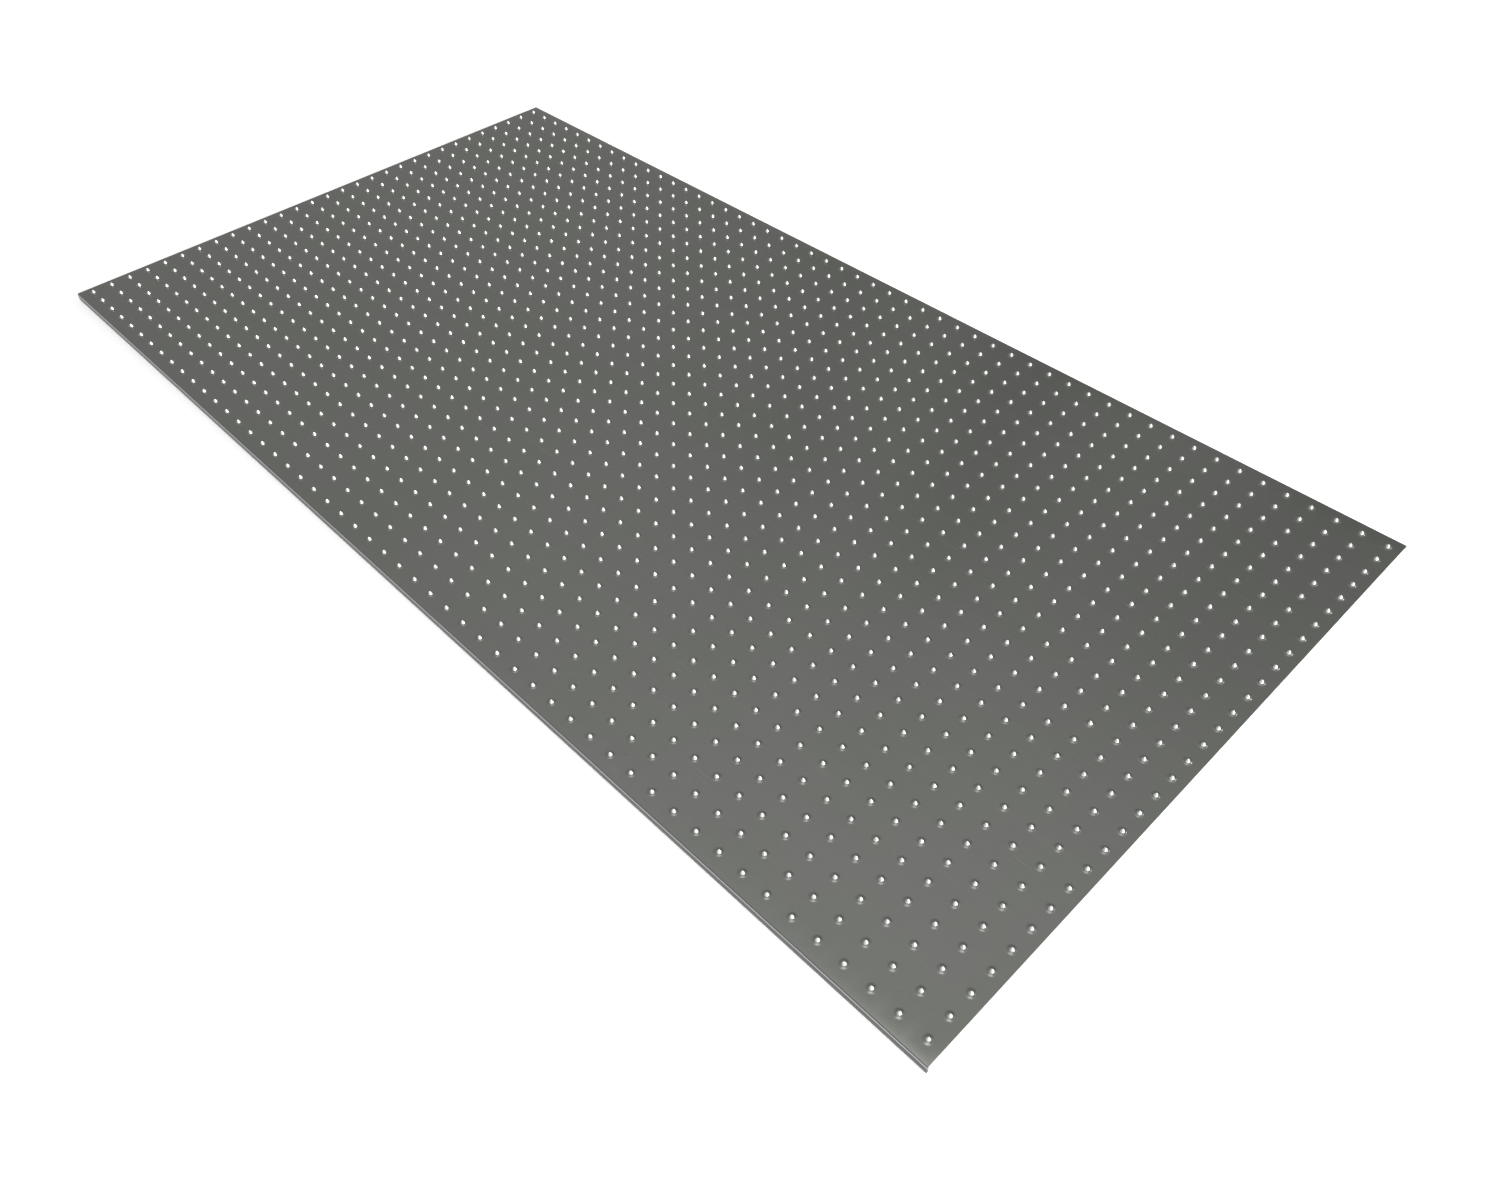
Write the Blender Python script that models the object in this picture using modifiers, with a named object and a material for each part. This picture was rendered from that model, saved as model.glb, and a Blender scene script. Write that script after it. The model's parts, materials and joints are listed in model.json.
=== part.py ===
"""Sheet-metal deck panel: one folded deck sheet, two end channels and a row of cross ribs under it.

Metres, +Z up. X runs along the panel and Y across it. The panel stands on z = 0, and the origin is on
the floor under its middle. The deck sheet carries a grid of small raised pips. Only the outermost ring
of pips is solid geometry here: it sets the panel's full height.
"""
import math

import bmesh
import bpy
from mathutils import Matrix, Vector

# Overall sizes
DECK_LENGTH = 2.000            # along X, over the end channels
DECK_WIDTH = 1.050             # along Y, over the side rims
DECK_HEIGHT = 0.015            # floor to the flat top of the deck sheet

# Deck sheet: a flat top, two side rims and two lips turned in under it
DECK_WALL = 0.0015
DECK_BEND = 0.003              # outer radius of its folds
LIP_WIDTH = 0.014              # side face to the free edge of the lip

# Pips: a square-set grid, centred on the deck
PIP_PITCH_LONG = 0.0385
PIP_PITCH_CROSS = 0.0346
PIP_EDGE_ROOM = 0.018          # least distance from the middle of a pip to an edge of the deck
PIP_RADIUS = 0.0031
PIP_CROWN_RADIUS = 0.0011
PIP_HEIGHT = 0.0050            # above the flat top
PIP_ROOT = 0.0005              # how far its stock reaches down into the sheet
PIP_SIDES = 8

# End channels: a web under each end of the deck, with a flange at its top and its foot
END_WALL = 0.0015
END_BEND = 0.003
END_FLANGE = 0.016
LIP_NOTCH_ROOM = 0.002         # between a channel's flange and the cut end of a lip

# Cross ribs: hat sections, flanges up against the deck, crown down
RIB_COUNT = 6
RIB_END_DISTANCE = 0.134       # end of the deck to the middle of the first rib, before it meets a row
RIB_WALL = 0.0012
RIB_BEND = 0.002
RIB_CROWN_WIDTH = 0.030
RIB_WEB_SLOPE = 0.003          # how far a web leans out between crown and flange
RIB_FLANGE = 0.014

# Between pieces that are welded to each other
WELD_GAP = 0.0003

BEND_STEPS = 5
COUNT_SLACK = 1e-6             # keeps a whole number of pitches from losing one to rounding
MERGE_DISTANCE = 0.00001
SHARP_ANGLE = math.radians(35.0)

COLLECTION_NAME = "deck_panel"
STOCK_COLLECTION_NAME = "pip_stock"

HALF_LENGTH = DECK_LENGTH / 2
HALF_WIDTH = DECK_WIDTH / 2
UNDER_DECK = DECK_HEIGHT - DECK_WALL - WELD_GAP
ABOVE_LIP = DECK_WALL + WELD_GAP
FOLD_END_LEAN = DECK_WALL * math.sin(math.pi / 4 / BEND_STEPS)     # a fold ends half a step short of flat
CROSS_PIECE_LENGTH = DECK_WIDTH - 2 * (DECK_BEND + FOLD_END_LEAN + WELD_GAP)


def clear_scene():
    for thing in list(bpy.data.objects):
        bpy.data.objects.remove(thing, do_unlink=True)


def new_collection(name):
    collection = bpy.data.collections.new(name)
    bpy.context.scene.collection.children.link(collection)
    return collection


def metal(name, colour, roughness):
    material = bpy.data.materials.new(name)
    material.use_nodes = True
    shader = material.node_tree.nodes["Principled BSDF"]
    shader.inputs["Base Color"].default_value = (*colour, 1.0)
    shader.inputs["Roughness"].default_value = roughness
    shader.inputs["Metallic"].default_value = 1.0
    return material


def new_object(name, bm, collection, material=None):
    mesh = bpy.data.meshes.new(name)
    bm.to_mesh(mesh)
    bm.free()
    mesh.shade_smooth()
    mesh.set_sharp_from_angle(angle=SHARP_ANGLE)
    if material:
        mesh.materials.append(material)
    thing = bpy.data.objects.new(name, mesh)
    collection.objects.link(thing)
    return thing


def rounded_path(corners, radius):
    """The corners joined by straight runs, with an arc of the radius at each corner between the ends."""
    points = [Vector(corners[0])]
    for before, here, after in zip(corners, corners[1:], corners[2:]):
        corner = Vector(here)
        back = (Vector(before) - corner).normalized()
        ahead = (Vector(after) - corner).normalized()
        half_angle = back.angle(ahead) / 2
        centre = corner + (back + ahead).normalized() * radius / math.sin(half_angle)
        start = (corner + back * radius / math.tan(half_angle) - centre).normalized()
        finish = (corner + ahead * radius / math.tan(half_angle) - centre).normalized()
        for step in range(BEND_STEPS + 1):
            points.append(centre + start.slerp(finish, step / BEND_STEPS) * radius)
    points.append(Vector(corners[-1]))
    return points


def swept_surface(path, along, stations):
    """An open surface: the path repeated at each station, a distance along the given direction."""
    bm = bmesh.new()
    verts = [bm.verts.new(point + along * stations[0]) for point in path]
    edges = [bm.edges.new(pair) for pair in zip(verts, verts[1:])]
    for here, there in zip(stations, stations[1:]):
        grown = bmesh.ops.extrude_edge_only(bm, edges=edges)["geom"]
        moved = [item for item in grown if isinstance(item, bmesh.types.BMVert)]
        edges = [item for item in grown if isinstance(item, bmesh.types.BMEdge)]
        edges = [edge for edge in edges if all(vert in moved for vert in edge.verts)]
        bmesh.ops.translate(bm, verts=moved, vec=along * (there - here))
    return bm


def face_away_from(bm, inside):
    """Turn all the faces the way in which the first one faces away from the point."""
    first = next(iter(bm.faces))
    if first.normal.dot(first.calc_center_median() - Vector(inside)) < 0:
        bmesh.ops.reverse_faces(bm, faces=bm.faces)


def add_wall(thing, thickness):
    wall = thing.modifiers.new("wall", "SOLIDIFY")
    wall.thickness = thickness
    wall.offset = -1.0
    wall.use_even_offset = True
    wall.use_quality_normals = True


def grid_places(size, pitch):
    """The centres of as many pips as fit in a row that is centred on the deck."""
    count = math.floor((size - 2 * PIP_EDGE_ROOM) / pitch + COUNT_SLACK) + 1
    return [(index - (count - 1) / 2) * pitch for index in range(count)]


def pip_ring_places():
    rows = grid_places(DECK_LENGTH, PIP_PITCH_LONG)
    columns = grid_places(DECK_WIDTH, PIP_PITCH_CROSS)
    places = []
    for x in rows:
        for y in columns:
            if x in (rows[0], rows[-1]) or y in (columns[0], columns[-1]):
                places.append((x, y))
    return places


def make_pip_stock(collection):
    bm = bmesh.new()
    depth = PIP_HEIGHT + PIP_ROOT
    middle = DECK_HEIGHT + PIP_HEIGHT - depth / 2
    for x, y in pip_ring_places():
        bmesh.ops.create_cone(
            bm,
            cap_ends=True,
            segments=PIP_SIDES,
            radius1=PIP_RADIUS,
            radius2=PIP_CROWN_RADIUS,
            depth=depth,
            matrix=Matrix.Translation((x, y, middle)),
        )
    stock = new_object("pip_ring_stock", bm, collection)
    stock.hide_render = True
    stock.display_type = "WIRE"
    return stock


def make_deck_sheet(collection, pip_stock, material):
    corners = [
        (0, 0, DECK_HEIGHT),
        (0, HALF_WIDTH, DECK_HEIGHT),
        (0, HALF_WIDTH, 0),
        (0, HALF_WIDTH - LIP_WIDTH, 0),
    ]
    path = rounded_path(corners, DECK_BEND)
    lip_end = HALF_LENGTH - END_FLANGE - LIP_NOTCH_ROOM
    bm = swept_surface(path, Vector((1, 0, 0)), [-HALF_LENGTH, -lip_end, lip_end, HALF_LENGTH])
    bm.normal_update()
    face_away_from(bm, (0, 0, DECK_HEIGHT / 2))
    notched = []
    for face in bm.faces:
        middle = face.calc_center_median()
        if abs(middle.x) > lip_end and abs(middle.y) < HALF_WIDTH - DECK_BEND and middle.z < DECK_BEND:
            notched.append(face)
    bmesh.ops.delete(bm, geom=notched, context="FACES")
    deck = new_object("deck_sheet", bm, collection, material)
    mirror = deck.modifiers.new("other_half", "MIRROR")
    mirror.use_axis = (False, True, False)
    mirror.merge_threshold = MERGE_DISTANCE
    add_wall(deck, DECK_WALL)
    union = deck.modifiers.new("pips", "BOOLEAN")
    union.operation = "UNION"
    union.solver = "EXACT"
    union.object = pip_stock
    return deck


def make_end_channel(name, side, collection, material):
    """A channel with its web at the end of the deck; side is +1 or -1 along X."""
    corners = [
        (side * (HALF_LENGTH - END_FLANGE), 0, UNDER_DECK),
        (side * HALF_LENGTH, 0, UNDER_DECK),
        (side * HALF_LENGTH, 0, 0),
        (side * (HALF_LENGTH - END_FLANGE), 0, 0),
    ]
    path = rounded_path(corners, END_BEND)
    half = CROSS_PIECE_LENGTH / 2
    bm = swept_surface(path, Vector((0, 1, 0)), [-half, half])
    bm.normal_update()
    face_away_from(bm, (side * (HALF_LENGTH - END_FLANGE), 0, UNDER_DECK / 2))
    channel = new_object(name, bm, collection, material)
    add_wall(channel, END_WALL)
    return channel


def rib_places():
    """Rib centres, evenly spaced, each moved to the nearest row of pips so that its flanges miss them."""
    rows = grid_places(DECK_LENGTH, PIP_PITCH_LONG)
    reach = HALF_LENGTH - RIB_END_DISTANCE
    spacing = 2 * reach / (RIB_COUNT - 1)
    places = []
    for index in range(RIB_COUNT):
        wanted = index * spacing - reach
        places.append(min(rows, key=lambda row: abs(row - wanted)))
    return places


def make_rib(name, x, collection, material):
    crown = RIB_CROWN_WIDTH / 2
    mouth = crown + RIB_WEB_SLOPE
    flange_foot = UNDER_DECK - RIB_WALL
    corners = [
        (-mouth - RIB_FLANGE, 0, flange_foot),
        (-mouth, 0, flange_foot),
        (-crown, 0, ABOVE_LIP),
        (crown, 0, ABOVE_LIP),
        (mouth, 0, flange_foot),
        (mouth + RIB_FLANGE, 0, flange_foot),
    ]
    path = rounded_path(corners, RIB_BEND)
    half = CROSS_PIECE_LENGTH / 2
    bm = swept_surface(path, Vector((0, 1, 0)), [-half, half])
    bm.normal_update()
    face_away_from(bm, (0, 0, DECK_HEIGHT))
    rib = new_object(name, bm, collection, material)
    rib.location.x = x
    add_wall(rib, RIB_WALL)
    return rib


def main():
    clear_scene()
    panel = new_collection(COLLECTION_NAME)
    stock = new_collection(STOCK_COLLECTION_NAME)
    deck_steel = metal("deck_steel", (0.15, 0.15, 0.145), 0.36)
    end_steel = metal("end_steel", (0.62, 0.62, 0.61), 0.30)
    rib_steel = metal("rib_steel", (0.42, 0.43, 0.43), 0.42)
    make_deck_sheet(panel, make_pip_stock(stock), deck_steel)
    make_end_channel("end_channel_front", 1, panel, end_steel)
    make_end_channel("end_channel_back", -1, panel, end_steel)
    for index, x in enumerate(rib_places(), start=1):
        make_rib(f"cross_rib_{index}", x, panel, rib_steel)


main()
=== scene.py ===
import json
import math

import bmesh
import bpy
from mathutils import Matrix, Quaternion, Vector


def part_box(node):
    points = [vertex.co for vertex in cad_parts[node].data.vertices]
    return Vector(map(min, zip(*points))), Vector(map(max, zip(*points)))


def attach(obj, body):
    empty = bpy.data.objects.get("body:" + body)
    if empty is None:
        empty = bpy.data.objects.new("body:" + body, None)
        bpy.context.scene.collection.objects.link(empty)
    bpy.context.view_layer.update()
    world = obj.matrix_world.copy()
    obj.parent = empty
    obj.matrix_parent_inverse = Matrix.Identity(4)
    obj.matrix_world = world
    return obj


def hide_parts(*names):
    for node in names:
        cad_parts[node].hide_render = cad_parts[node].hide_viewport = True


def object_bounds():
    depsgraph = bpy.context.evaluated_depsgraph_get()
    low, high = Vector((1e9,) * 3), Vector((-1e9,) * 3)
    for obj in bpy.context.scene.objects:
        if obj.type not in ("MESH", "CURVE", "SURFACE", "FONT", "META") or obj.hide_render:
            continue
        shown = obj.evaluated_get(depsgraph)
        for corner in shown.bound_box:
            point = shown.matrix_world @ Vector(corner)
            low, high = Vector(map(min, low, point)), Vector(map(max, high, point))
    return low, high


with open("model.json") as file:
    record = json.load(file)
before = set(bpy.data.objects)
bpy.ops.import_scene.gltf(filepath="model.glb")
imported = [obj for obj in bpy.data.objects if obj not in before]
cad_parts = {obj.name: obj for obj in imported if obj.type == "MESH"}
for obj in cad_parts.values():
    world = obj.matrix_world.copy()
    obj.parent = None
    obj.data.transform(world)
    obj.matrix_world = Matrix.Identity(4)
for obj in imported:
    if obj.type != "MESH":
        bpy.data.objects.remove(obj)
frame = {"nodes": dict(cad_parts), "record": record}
cad_low, cad_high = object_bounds()

BODY = "root"
MM = 0.001

# ---- Sizes read from the frame ----
deck_low, deck_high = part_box("deck_sheet")
channel_low, channel_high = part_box("end_channel_front")
mounts = {mount["name"]: mount for mount in frame["record"]["mounts"]}

deck_top = mounts["deck_face"]["pos_m"][2]
pip_height = deck_high.z - deck_top
half_length = deck_high.x
half_width = deck_high.y
channel_flange = channel_high.x - channel_low.x
cross_half = channel_high.y                        # half the length of the ribs and end channels
under_deck = channel_high.z                        # their upper side
bend = 3 * MM                                      # outer radius of the sheet's folds

# ---- The sheet and its pips ----
SHEET = 1.5 * MM
LIP_WIDTH = 14 * MM
LIP_NOTCH = channel_flange + 2 * MM
PIPS_LONG = 52
PIPS_CROSS = 30
PITCH_LONG = 38.5 * MM
PITCH_CROSS = 34.6 * MM
PIP_SIDES = 10
BEND_STEPS = 4
MERGE = 0.01 * MM
PIP_SHARP = math.radians(52)

# Rings of a pip from its foot in: radius on top, share of the height, radius of the hollow below, share
PIP_RINGS = (
    (3.1 * MM, 0.0, 2.1 * MM, 0.0),
    (2.0 * MM, 0.52, 1.2 * MM, 0.42),
    (0.7 * MM, 0.98, 0.4 * MM, 0.76),
)
PIP_FOOT = PIP_RINGS[0][0]
FILLET_REACH = 5.0 * MM                            # how far the drawn-in fillet runs out from the foot
FILLET_RISE = 0.8 * MM

# ---- The folded strips under it ----
CHANNEL_WALL = 1.5 * MM
CHANNEL_BEND = 3 * MM
RIB_WALL = 1.2 * MM
RIB_BEND = 2 * MM
RIB_CROWN = 30 * MM
RIB_SLOPE = 3 * MM
STRIP_BEND_STEPS = 5


# ---- Light and camera ----
# Dark screens behind the panel: bearing from the panel's cross axis, half width (radians), strength
SCREENS = ((0.22, 0.075, 0.26), (0.42, 0.05, 0.20), (-0.10, 0.12, 0.18))
SCREEN_SLANT = 0.55
ROOM_TONE = 0.348
LOW_GLOW = 0.25
LOW_GLOW_RIGHT = 0.75
BACK_SHADE = 0.30
WEST_SHADE = 0.13
OVERHEAD_GLOW = 0.09
ZENITH_GLOW = 0.75
FLOOR_GLOW = 0.45
FLOOR_HALF = 30                                    # metres
FLOOR_DROP = 0.2 * MM                              # below the panel's foot

CAMERA_LENS = 28.937
CAMERA_AZIMUTH = math.radians(46.453)
CAMERA_ELEVATION = math.radians(46.678)
CAMERA_ROLL = math.radians(-1.284)
CAMERA_PLACE = (1.2346, -0.9769, 1.1953 + deck_top)

# Name, place, point it faces, width and height in metres, watts
LIGHTS = (
    ("overhead", (2.2, -2.6, 4.2), (0, 0, 0), (4.0, 4.0), 60.0),
    ("front", (3.6, -1.5, 1.5), (0.2, 0, 0), (2.6, 1.4), 55.0),
    ("window", (3.0, 2.6, 1.7), (0.2, 0.1, 0), (2.2, 1.5), 200.0),
)


# ---- Small tools ----
def finished(name, bm, finish, sharp=math.radians(35)):
    """A piece at the origin, with its place in its mesh, riding on the panel."""
    mesh = bpy.data.meshes.new(name)
    bm.to_mesh(mesh)
    bm.free()
    mesh.shade_smooth()
    mesh.set_sharp_from_angle(angle=sharp)
    mesh.materials.append(finish)
    piece = bpy.data.objects.new(name, mesh)
    bpy.context.scene.collection.objects.link(piece)
    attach(piece, BODY)
    return piece


def grown(bm, edges, move):
    """Extrudes the edges by the move and returns the new edges."""
    made = bmesh.ops.extrude_edge_only(bm, edges=edges)["geom"]
    verts = [item for item in made if isinstance(item, bmesh.types.BMVert)]
    bmesh.ops.translate(bm, verts=verts, vec=move)
    fresh = set(verts)
    lines = [item for item in made if isinstance(item, bmesh.types.BMEdge)]
    return [edge for edge in lines if all(vert in fresh for vert in edge.verts)]


# ---- Finishes ----
class Wire:
    """A value in a node tree that can be added, multiplied and compared like a number."""

    def __init__(self, finish, socket):
        self.finish = finish
        self.socket = socket

    def math(self, operation, first, second=None):
        return self.finish.math(operation, first, second)

    def __add__(self, other):
        return self.math("ADD", self, other)

    __radd__ = __add__

    def __mul__(self, other):
        return self.math("MULTIPLY", self, other)

    __rmul__ = __mul__

    def __sub__(self, other):
        return self.math("SUBTRACT", self, other)

    def __rsub__(self, other):
        return self.math("SUBTRACT", other, self)

    def __truediv__(self, other):
        return self.math("DIVIDE", self, other)

    def __pow__(self, other):
        return self.math("POWER", self, other)

    def fraction(self):
        return self.math("FRACT", self)


class NodeTree:
    """A node tree with one shader, and the patterns and sums that feed it."""

    def __init__(self, tree, shader, coordinates):
        self.tree = tree
        self.shader = tree.nodes[shader]
        self.place = self.node("ShaderNodeTexCoord", output=coordinates)
        split = self.node("ShaderNodeSeparateXYZ", sockets={0: self.place}, output="X")
        self.x = split
        self.y = Wire(self, split.socket.node.outputs["Y"])
        self.z = Wire(self, split.socket.node.outputs["Z"])

    def node(self, kind, settings=None, sockets=None, output=0):
        """Adds a node: its settings first, then the values or links of its sockets."""
        node = self.tree.nodes.new(kind)
        for name, value in (settings or {}).items():
            setattr(node, name, value)
        for name, value in (sockets or {}).items():
            if isinstance(value, Wire):
                self.tree.links.new(value.socket, node.inputs[name])
            else:
                node.inputs[name].default_value = value
        return Wire(self, node.outputs[output])

    def math(self, operation, first, second=None):
        values = {0: first} if second is None else {0: first, 1: second}
        return self.node("ShaderNodeMath", {"operation": operation}, values)

    def stretched(self, scale, turn=0.0):
        settings = {"vector_type": "POINT"}
        sockets = {"Vector": self.place, "Rotation": (0.0, 0.0, turn), "Scale": scale}
        return self.node("ShaderNodeMapping", settings, sockets)

    def noise(self, scale, detail=3.0, roughness=0.55, place=None):
        sockets = {"Vector": place or self.place, "Scale": scale, "Detail": detail, "Roughness": roughness}
        return self.node("ShaderNodeTexNoise", {}, sockets, "Fac")

    def ramp(self, value, low, high):
        """0 below low, 1 above high, and a soft step between."""
        settings = {"interpolation_type": "SMOOTHSTEP"}
        sockets = {"Value": value, "From Min": low, "From Max": high}
        return self.node("ShaderNodeMapRange", settings, sockets)

    def mix(self, factor, first, second):
        """Two colours mixed by a factor."""
        settings = {"data_type": "RGBA"}
        sockets = {0: factor, 6: first, 7: second}
        return self.node("ShaderNodeMix", settings, sockets, 2)

    def bump(self, height, distance, strength=1.0, normal=None):
        sockets = {"Height": height, "Distance": distance, "Strength": strength}
        if normal:
            sockets["Normal"] = normal
        return self.node("ShaderNodeBump", {}, sockets)

    def set(self, **values):
        for name, value in values.items():
            socket = self.shader.inputs[name.replace("_", " ")]
            if isinstance(value, Wire):
                self.tree.links.new(value.socket, socket)
            else:
                socket.default_value = value


class Finish(NodeTree):
    """A procedural material with one Principled shader, whose patterns read Object coordinates."""

    def __init__(self, name):
        self.material = bpy.data.materials.new(name)
        self.material.use_nodes = True
        super().__init__(self.material.node_tree, "Principled BSDF", "Object")


def grey(tone, warm=0.0):
    return (tone * (1 + warm), tone, tone * (1 - warm), 1.0)


def deck_steel():
    """Dark rolled sheet: grain along the panel, drifts of tone and tint, scuffs, specks; painted shade
    round each pip's foot, on the folded rims' faces and along their foot; pips painted near white, partly
    bright metal and partly a painted highlight.
    """
    steel = Finish("deck_steel")
    drift = steel.noise(1.5, 2.0, 0.5)
    tint = steel.ramp(steel.noise(4.5, 3.0, 0.6), 0.40, 0.62)
    cloud = steel.noise(13.0, 4.0, 0.6)
    grain = steel.noise(1.0, 3.0, 0.6, steel.stretched((14.0, 1100.0, 300.0)))
    streak = steel.noise(1.0, 2.0, 0.5, steel.stretched((1.2, 45.0, 45.0)))
    scuffs = steel.ramp(steel.noise(1.0, 2.0, 0.5, steel.stretched((9.0, 620.0, 9.0), 0.5)), 0.70, 0.78)
    cuts = steel.ramp(steel.noise(1.0, 2.0, 0.5, steel.stretched((7.0, 900.0, 9.0), -0.9)), 0.72, 0.80)
    specks = steel.ramp(steel.noise(420.0, 1.0, 0.5), 0.76, 0.82)

    crown = steel.ramp(steel.z, deck_top + 0.10 * MM, deck_top + 0.5 * MM)
    across = ((steel.x / PITCH_LONG + 0.5 * PIPS_LONG).fraction() - 0.5) * PITCH_LONG
    along = ((steel.y / PITCH_CROSS + 0.5 * PIPS_CROSS).fraction() - 0.5) * PITCH_CROSS
    reach = (across * across + along * along) ** 0.5
    foot = (1 - steel.ramp(reach, PIP_FOOT, PIP_FOOT + 0.9 * MM)) * (1 - crown)

    sideways = steel.math("ABSOLUTE", steel.y)
    past_flat = steel.ramp(sideways, half_width - bend + 0.3 * MM, half_width - bend + 1.3 * MM)
    rim = 1 - steel.ramp(steel.z, deck_top - bend - 0.5 * MM, deck_top - 1.6 * MM)
    fold = past_flat * (1 - rim)
    rim_foot_shade = past_flat * (1 - steel.ramp(steel.z, 1.2 * MM, 3.4 * MM))

    tone = steel.mix(drift, (0.338, 0.360, 0.313, 1.0), (0.424, 0.448, 0.394, 1.0))
    tone = steel.mix(tint * 0.30, tone, (0.43, 0.40, 0.43, 1.0))
    tone = steel.mix(cloud * 0.30, tone, grey(0.32, 0.02))
    tone = steel.mix(streak * 0.25, tone, grey(0.50))
    tone = steel.mix(scuffs * 0.5 + cuts * 0.4, tone, grey(0.62))
    tone = steel.mix(specks * 0.7, tone, grey(0.10, 0.1))
    # Painted shade: a dark ring round each pip's foot, where the crease would hold shade.
    tone = steel.mix(foot * 0.35, tone, grey(0.12))
    # Painted shade: the folded rims' faces are painted near black, standing for the shaded floor they
    # would reflect.
    tone = steel.mix(rim * past_flat * 0.9, tone, steel.mix(cloud, grey(0.055), grey(0.09)))
    tone = steel.mix(fold * (0.65 + cloud * 0.5), tone, grey(0.36))
    # Painted shade: a near-black line along the rims' foot, standing for the contact shadow on the floor.
    tone = steel.mix(rim_foot_shade * 0.85, tone, grey(0.03))
    # The raised pips are painted near white and partly matt: partly bright metal, partly a painted
    # highlight standing for their glints.
    tone = steel.mix(crown, tone, grey(0.90))
    rough = 0.13 + grain * 0.08 + cloud * 0.05 - scuffs * 0.05 + rim * past_flat * 0.20
    rough = rough * (1 - crown) + crown * 0.38
    wave = steel.bump(steel.noise(2.6, 1.0, 0.4), 2.2 * MM)
    drawn = 1 - steel.ramp(reach, PIP_FOOT, PIP_FOOT + FILLET_REACH)
    fillet = steel.bump(drawn * drawn, FILLET_RISE, 1.0, wave)
    rolled = steel.bump(grain + scuffs * 0.6, 0.02 * MM, 0.6, fillet)
    steel.set(Base_Color=tone, Roughness=rough, Metallic=1 - crown * 0.3, Normal=rolled)
    return steel.material


def zinc_steel(name, low, high, foot_shade=0.0):
    """Zinc-coated strip between two tones: spangle, rolling lines, dull patches, and painted shade along
    the floor, a dark foot standing for the contact shadow.
    """
    zinc = Finish(name)
    cells = zinc.node("ShaderNodeTexVoronoi", {}, {"Vector": zinc.place, "Scale": 95.0}, "Color")
    spangle = zinc.node("ShaderNodeSeparateColor", {}, {0: cells})
    cloud = zinc.noise(16.0, 4.0, 0.6)
    lines = zinc.noise(1.0, 2.0, 0.5, zinc.stretched((700.0, 9.0, 400.0)))
    stain = zinc.ramp(zinc.noise(28.0, 3.0, 0.6), 0.58, 0.72)
    tone = zinc.mix(spangle * 0.35 + cloud * 0.65, grey(low), grey(high))
    tone = zinc.mix(stain * 0.35, tone, grey(low * 0.6, 0.03))
    rough = 0.24 + spangle * 0.08 + stain * 0.15 + lines * 0.06
    relief = zinc.bump(lines, 0.02 * MM, 0.5)
    # Painted shade: the strip darkens towards the floor, standing for the contact shadow.
    foot = 1 - zinc.ramp(zinc.z, 2.6 * MM, 4.6 * MM)
    tone = zinc.mix(foot * foot_shade, tone, grey(0.12))
    zinc.set(Base_Color=tone, Roughness=rough, Metallic=1.0, Normal=relief)
    return zinc.material


def floor_finish():
    pale = Finish("pale_floor")
    tone = pale.mix(pale.noise(2.5), grey(0.90), grey(0.93))
    pale.set(Base_Color=tone, Roughness=0.85, Emission_Color=grey(1.0), Emission_Strength=FLOOR_GLOW)
    return pale.material


# ---- The deck sheet ----
def flat_cell():
    """One pip's share of the sheet, flat: a rectangle with rings where the pip will rise."""
    bm = bmesh.new()
    bmesh.ops.create_grid(bm, x_segments=1, y_segments=1, size=0.5)
    bmesh.ops.scale(bm, verts=bm.verts, vec=(PITCH_LONG, PITCH_CROSS, 1))
    bmesh.ops.delete(bm, geom=list(bm.faces), context="FACES_ONLY")
    outline = list(bm.edges)
    foot = bmesh.ops.create_circle(bm, segments=PIP_SIDES, radius=PIP_RINGS[0][0])["verts"]
    ring = [edge for edge in bm.edges if edge not in outline]
    bmesh.ops.triangle_fill(bm, edges=outline + ring, use_beauty=True, normal=(0, 0, 1))
    disc = bmesh.ops.contextual_create(bm, geom=ring)["faces"]
    if not disc:
        disc = [face for face in bm.faces if all(vert in foot for vert in face.verts)]
    for radius in (PIP_RINGS[1][0], PIP_RINGS[2][0]):
        bmesh.ops.inset_region(bm, faces=disc, thickness=0.1 * MM, use_even_offset=True)
        verts = list({vert for face in disc for vert in face.verts})
        size = verts[0].co.length
        bmesh.ops.scale(bm, verts=verts, vec=(radius / size, radius / size, 1))
    return bm


def repeated(mesh, count, step):
    """The mesh repeated along one step, its borders merged."""
    piece = bpy.data.objects.new("repeat", mesh)
    bpy.context.scene.collection.objects.link(piece)
    row = piece.modifiers.new("row", "ARRAY")
    row.count = count
    row.use_relative_offset = False
    row.use_constant_offset = True
    row.constant_offset_displace = step
    row.use_merge_vertices = True
    row.merge_threshold = MERGE
    graph = bpy.context.evaluated_depsgraph_get()
    result = bpy.data.meshes.new_from_object(piece.evaluated_get(graph))
    bpy.data.objects.remove(piece)
    return result


def stretch_border(bm):
    """Moves the grid's border out or in to the panel's own edges."""
    for vert in bm.verts:
        if abs(vert.co.x) > PIPS_LONG / 2 * PITCH_LONG - MERGE:
            vert.co.x = math.copysign(half_length, vert.co.x)
        if abs(vert.co.y) > PIPS_CROSS / 2 * PITCH_CROSS - MERGE:
            vert.co.y = math.copysign(half_width, vert.co.y)


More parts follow.
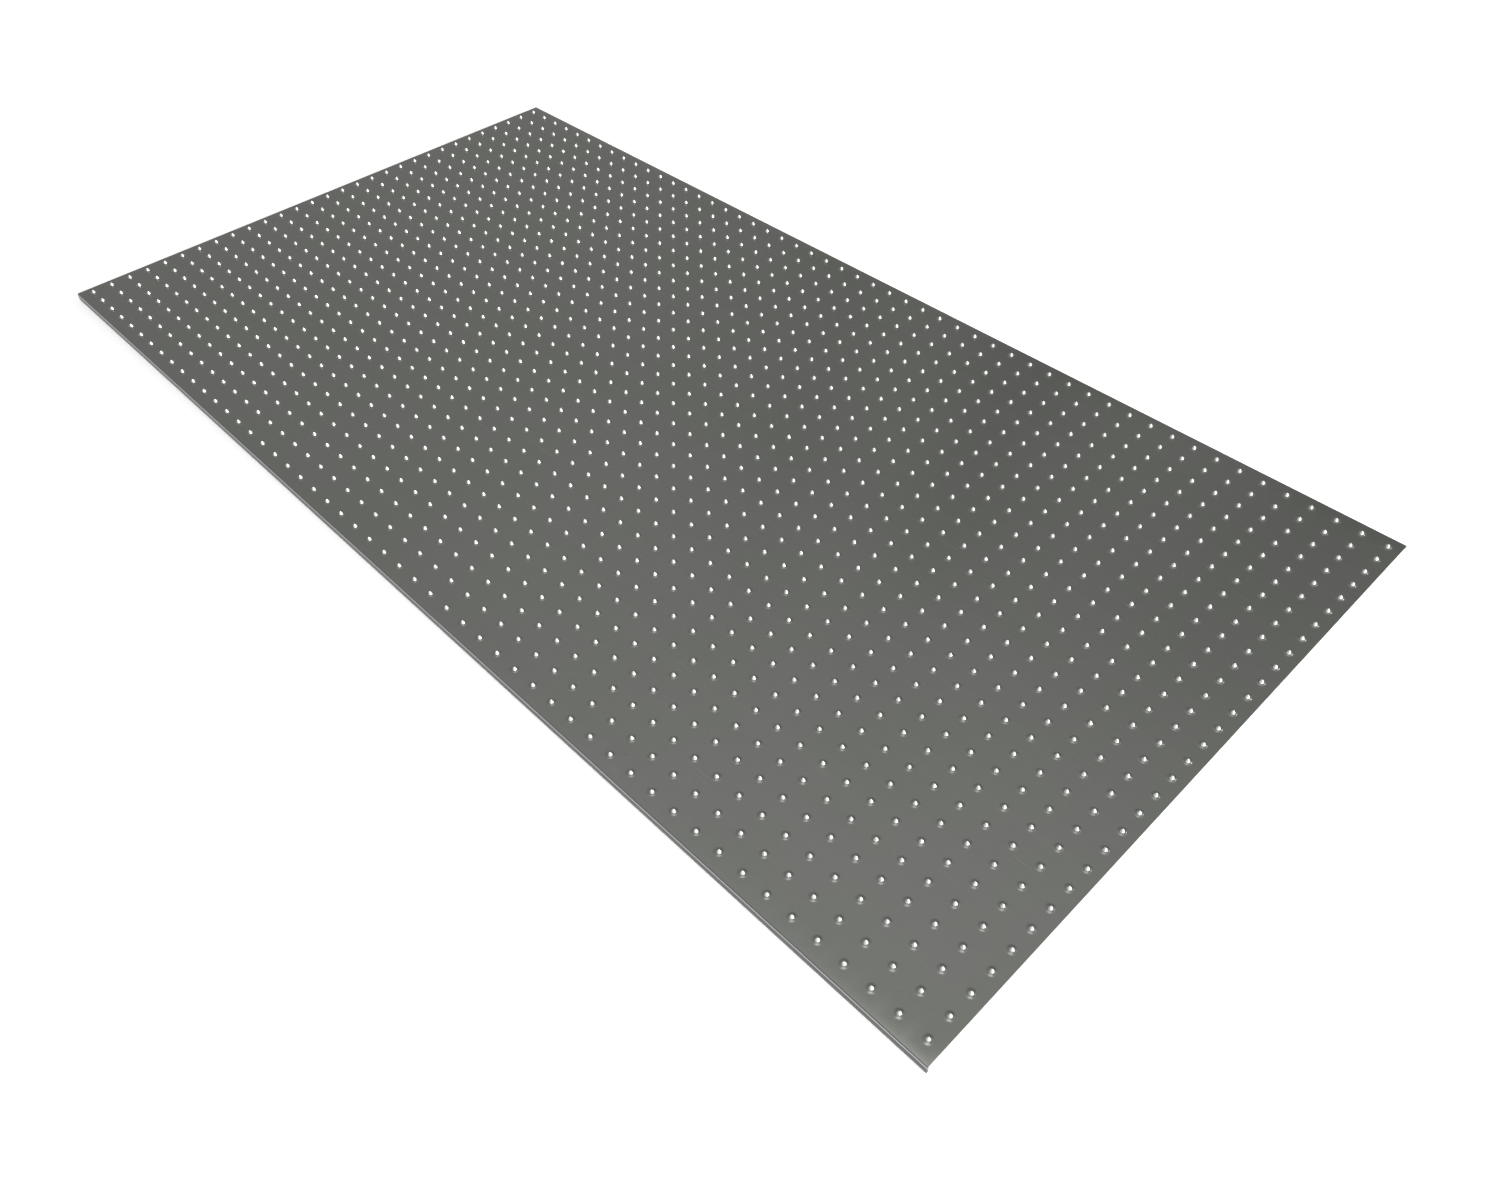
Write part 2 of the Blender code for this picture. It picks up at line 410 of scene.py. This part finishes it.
def fold_side(bm, side):
    """Folds one long border down and turns its lip in; side is +1 or -1 along Y."""
    edges = [edge for edge in bm.edges if edge.is_boundary and
             all(abs(vert.co.y - side * half_width) < MERGE for vert in edge.verts)]
    border = list({vert for edge in edges for vert in edge.verts})
    bmesh.ops.translate(bm, verts=border, vec=(0, -side * bend, 0))
    turn = math.pi / 2 / BEND_STEPS
    heading = turn / 2
    chord = 2 * bend * math.sin(turn / 2)
    for straight in (deck_top - 2 * bend, LIP_WIDTH - bend):
        for _ in range(BEND_STEPS):
            move = Vector((0, side * math.cos(heading), -math.sin(heading))) * chord
            edges = grown(bm, edges, move)
            heading += turn
        heading -= turn / 2
        move = Vector((0, side * math.cos(heading), -math.sin(heading))) * straight
        edges = grown(bm, edges, move)
        heading += turn / 2


def notch_lips(bm):
    """Cuts the flat lips away at both ends, where the end channels stand."""
    def is_lip(face):
        middle = face.calc_center_median()
        return middle.z < bend / 2 and abs(middle.y) < half_width - bend

    for side in (1, -1):
        limit = side * (half_length - LIP_NOTCH)
        lips = [face for face in bm.faces if is_lip(face)]
        edges = {edge for face in lips for edge in face.edges}
        verts = {vert for face in lips for vert in face.verts}
        bmesh.ops.bisect_plane(
            bm, geom=lips + list(edges) + list(verts), dist=MERGE,
            plane_co=(limit, 0, 0), plane_no=(side, 0, 0))
        past = [face for face in bm.faces if is_lip(face)]
        past = [face for face in past if side * (face.calc_center_median().x - limit) > 0]
        bmesh.ops.delete(bm, geom=past, context="FACES")


def press_pips(bm):
    """Raises every pip out of the flat sheet and presses its hollow into the underside."""
    middle = deck_top - SHEET / 2
    widest = PIP_RINGS[0][0] + MERGE
    for vert in bm.verts:
        if vert.co.z < deck_top - SHEET - MERGE:
            continue
        column = (math.floor(vert.co.x / PITCH_LONG) + 0.5) * PITCH_LONG
        row = (math.floor(vert.co.y / PITCH_CROSS) + 0.5) * PITCH_CROSS
        out = Vector((vert.co.x - column, vert.co.y - row, 0))
        if out.length > widest:
            continue
        ring = min(PIP_RINGS, key=lambda ring: abs(ring[0] - out.length))
        on_top = vert.co.z > middle
        radius, rise = ring[:2] if on_top else ring[2:]
        vert.co.x = column + out.x / out.length * radius
        vert.co.y = row + out.y / out.length * radius
        vert.co.z += pip_height * rise


def make_deck_sheet(finish):
    cell = bpy.data.meshes.new("cell")
    bm = flat_cell()
    bm.to_mesh(cell)
    bm.free()
    row = repeated(cell, PIPS_LONG, (PITCH_LONG, 0, 0))
    grid = repeated(row, PIPS_CROSS, (0, PITCH_CROSS, 0))
    bm = bmesh.new()
    bm.from_mesh(grid)
    first = Vector(((1 - PIPS_LONG) / 2 * PITCH_LONG, (1 - PIPS_CROSS) / 2 * PITCH_CROSS, deck_top))
    bmesh.ops.translate(bm, verts=bm.verts, vec=first)
    stretch_border(bm)
    for side in (1, -1):
        fold_side(bm, side)
    notch_lips(bm)
    bmesh.ops.recalc_face_normals(bm, faces=bm.faces)
    top = max(bm.faces, key=lambda face: face.calc_center_median().z)
    if top.normal.z < 0:
        bmesh.ops.reverse_faces(bm, faces=bm.faces)
    bmesh.ops.solidify(bm, geom=list(bm.faces), thickness=SHEET)
    press_pips(bm)
    for spare in (cell, row, grid):
        bpy.data.meshes.remove(spare)
    sheet = finished("deck_sheet_pressed", bm, finish, PIP_SHARP)
    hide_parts("deck_sheet")
    return sheet


# ---- The strips under the sheet ----
def folded_strip(name, corners, radius, wall, inside, finish):
    """A folded strip across the panel: corners run round its outer side, inside is a point it wraps."""
    bm = bmesh.new()
    verts = [bm.verts.new((x, -cross_half, z)) for x, z in corners]
    edges = [bm.edges.new(pair) for pair in zip(verts, verts[1:])]
    grown(bm, edges, Vector((0, 2 * cross_half, 0)))
    bm.normal_update()
    first = min(bm.faces, key=lambda face: face.calc_center_median().z)
    if first.normal.dot(first.calc_center_median() - Vector(inside)) < 0:
        bmesh.ops.reverse_faces(bm, faces=bm.faces)
    folds = [edge for edge in bm.edges if len(edge.link_faces) == 2]
    turn = folds[0].calc_face_angle()
    bmesh.ops.bevel(
        bm, geom=folds, offset=radius * math.tan(turn / 2), offset_type="OFFSET", affect="EDGES",
        segments=STRIP_BEND_STEPS, profile=0.5, material=-1)
    strip = finished(name, bm, finish)
    thick = strip.modifiers.new("wall", "SOLIDIFY")
    thick.thickness = wall
    thick.offset = -1.0
    thick.use_even_offset = True
    return strip


def make_end_channel(node, finish):
    low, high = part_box(node)
    side = math.copysign(1, low.x + high.x)
    outer = side * half_length
    inner = side * (half_length - channel_flange)
    corners = [(inner, under_deck), (outer, under_deck), (outer, low.z), (inner, low.z)]
    inside = (inner, 0, (low.z + under_deck) / 2)
    channel = folded_strip(node + "_folded", corners, CHANNEL_BEND, CHANNEL_WALL, inside, finish)
    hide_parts(node)


def make_rib(node, finish):
    low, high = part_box(node)
    middle = (low.x + high.x) / 2
    crown = RIB_CROWN / 2
    mouth = crown + RIB_SLOPE
    foot = high.z - RIB_WALL
    corners = [
        (low.x, foot), (middle - mouth, foot), (middle - crown, low.z),
        (middle + crown, low.z), (middle + mouth, foot), (high.x, foot),
    ]
    rib = folded_strip(node + "_hat", corners, RIB_BEND, RIB_WALL, (middle, 0, deck_top), finish)
    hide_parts(node)


# ---- Studio ----
def make_floor():
    bm = bmesh.new()
    bmesh.ops.create_grid(bm, x_segments=1, y_segments=1, size=FLOOR_HALF)
    bmesh.ops.translate(bm, verts=bm.verts, vec=(0, 0, cad_low.z - FLOOR_DROP))
    mesh = bpy.data.meshes.new("floor")
    bm.to_mesh(mesh)
    bm.free()
    mesh.materials.append(floor_finish())
    floor = bpy.data.objects.new("floor", mesh)
    bpy.context.scene.collection.objects.link(floor)


def make_camera():
    eye = bpy.data.cameras.new("eye")
    eye.sensor_width = 36.0
    eye.lens = CAMERA_LENS
    eye.clip_end = 100.0
    camera = bpy.data.objects.new("camera", eye)
    back = Vector((
        math.sin(CAMERA_AZIMUTH) * math.cos(CAMERA_ELEVATION),
        -math.cos(CAMERA_AZIMUTH) * math.cos(CAMERA_ELEVATION),
        math.sin(CAMERA_ELEVATION),
    ))
    camera.rotation_mode = "QUATERNION"
    camera.rotation_quaternion = (-back).to_track_quat("-Z", "Y") @ Quaternion((0, 0, 1), CAMERA_ROLL)
    camera.location = CAMERA_PLACE
    bpy.context.scene.collection.objects.link(camera)
    bpy.context.scene.camera = camera


def area_light(name, place, aim, size, power):
    lamp = bpy.data.lights.new(name, "AREA")
    lamp.shape = "RECTANGLE"
    lamp.size, lamp.size_y = size
    lamp.energy = power
    light = bpy.data.objects.new(name, lamp)
    light.location = place
    light.rotation_mode = "QUATERNION"
    light.rotation_quaternion = (Vector(aim) - Vector(place)).to_track_quat("-Z", "Y")
    bpy.context.scene.collection.objects.link(light)


def make_world():
    """A studio: bright low down on the right and straight up, with soft dark screens at the back."""
    world = bpy.data.worlds.new("studio")
    world.use_nodes = True
    room = NodeTree(world.node_tree, "Background", "Generated")
    east, north, up = room.x, room.y, room.z
    low = 1 - room.ramp(up, 0.05, 0.40)
    overhead = room.ramp(up, 0.62, 0.95)
    right = room.ramp(east * 0.69 + north * 0.72, -0.35, 0.75)
    bearing = room.math("ARCTAN2", -1 * east, north)
    screens = 0
    for middle, width, depth in SCREENS:
        slanted = bearing - up * SCREEN_SLANT
        gap = room.math("ABSOLUTE", slanted - middle)
        screens = screens + (1 - room.ramp(gap, width * 0.3, width)) * depth
    screens = screens * (1 - room.ramp(up, 0.60, 0.85))
    behind = room.ramp(north, 0.35, 0.95)
    west = 1 - room.ramp(east, -0.85, -0.45)
    light = ROOM_TONE + low * (LOW_GLOW + right * LOW_GLOW_RIGHT)
    light = light * (1 - behind * BACK_SHADE) * (1 - west * WEST_SHADE)
    light = light + overhead * OVERHEAD_GLOW + room.ramp(up, 0.95, 0.995) * ZENITH_GLOW
    room.set(Color=room.mix(light * (1 - screens), grey(0.0), grey(1.0)))
    bpy.context.scene.world = world


make_world()
make_camera()
make_floor()
for light in LIGHTS:
    area_light(*light)
bpy.context.scene.view_settings.view_transform = "Standard"

make_deck_sheet(deck_steel())
# The end channels' finish carries painted shade along its foot.
channel_finish = zinc_steel("end_steel", 0.66, 0.80, 0.60)
rib_finish = zinc_steel("rib_steel", 0.42, 0.58)
for node in sorted(frame["nodes"]):
    if node.startswith("end_channel"):
        make_end_channel(node, channel_finish)
    if node.startswith("cross_rib"):
        make_rib(node, rib_finish)
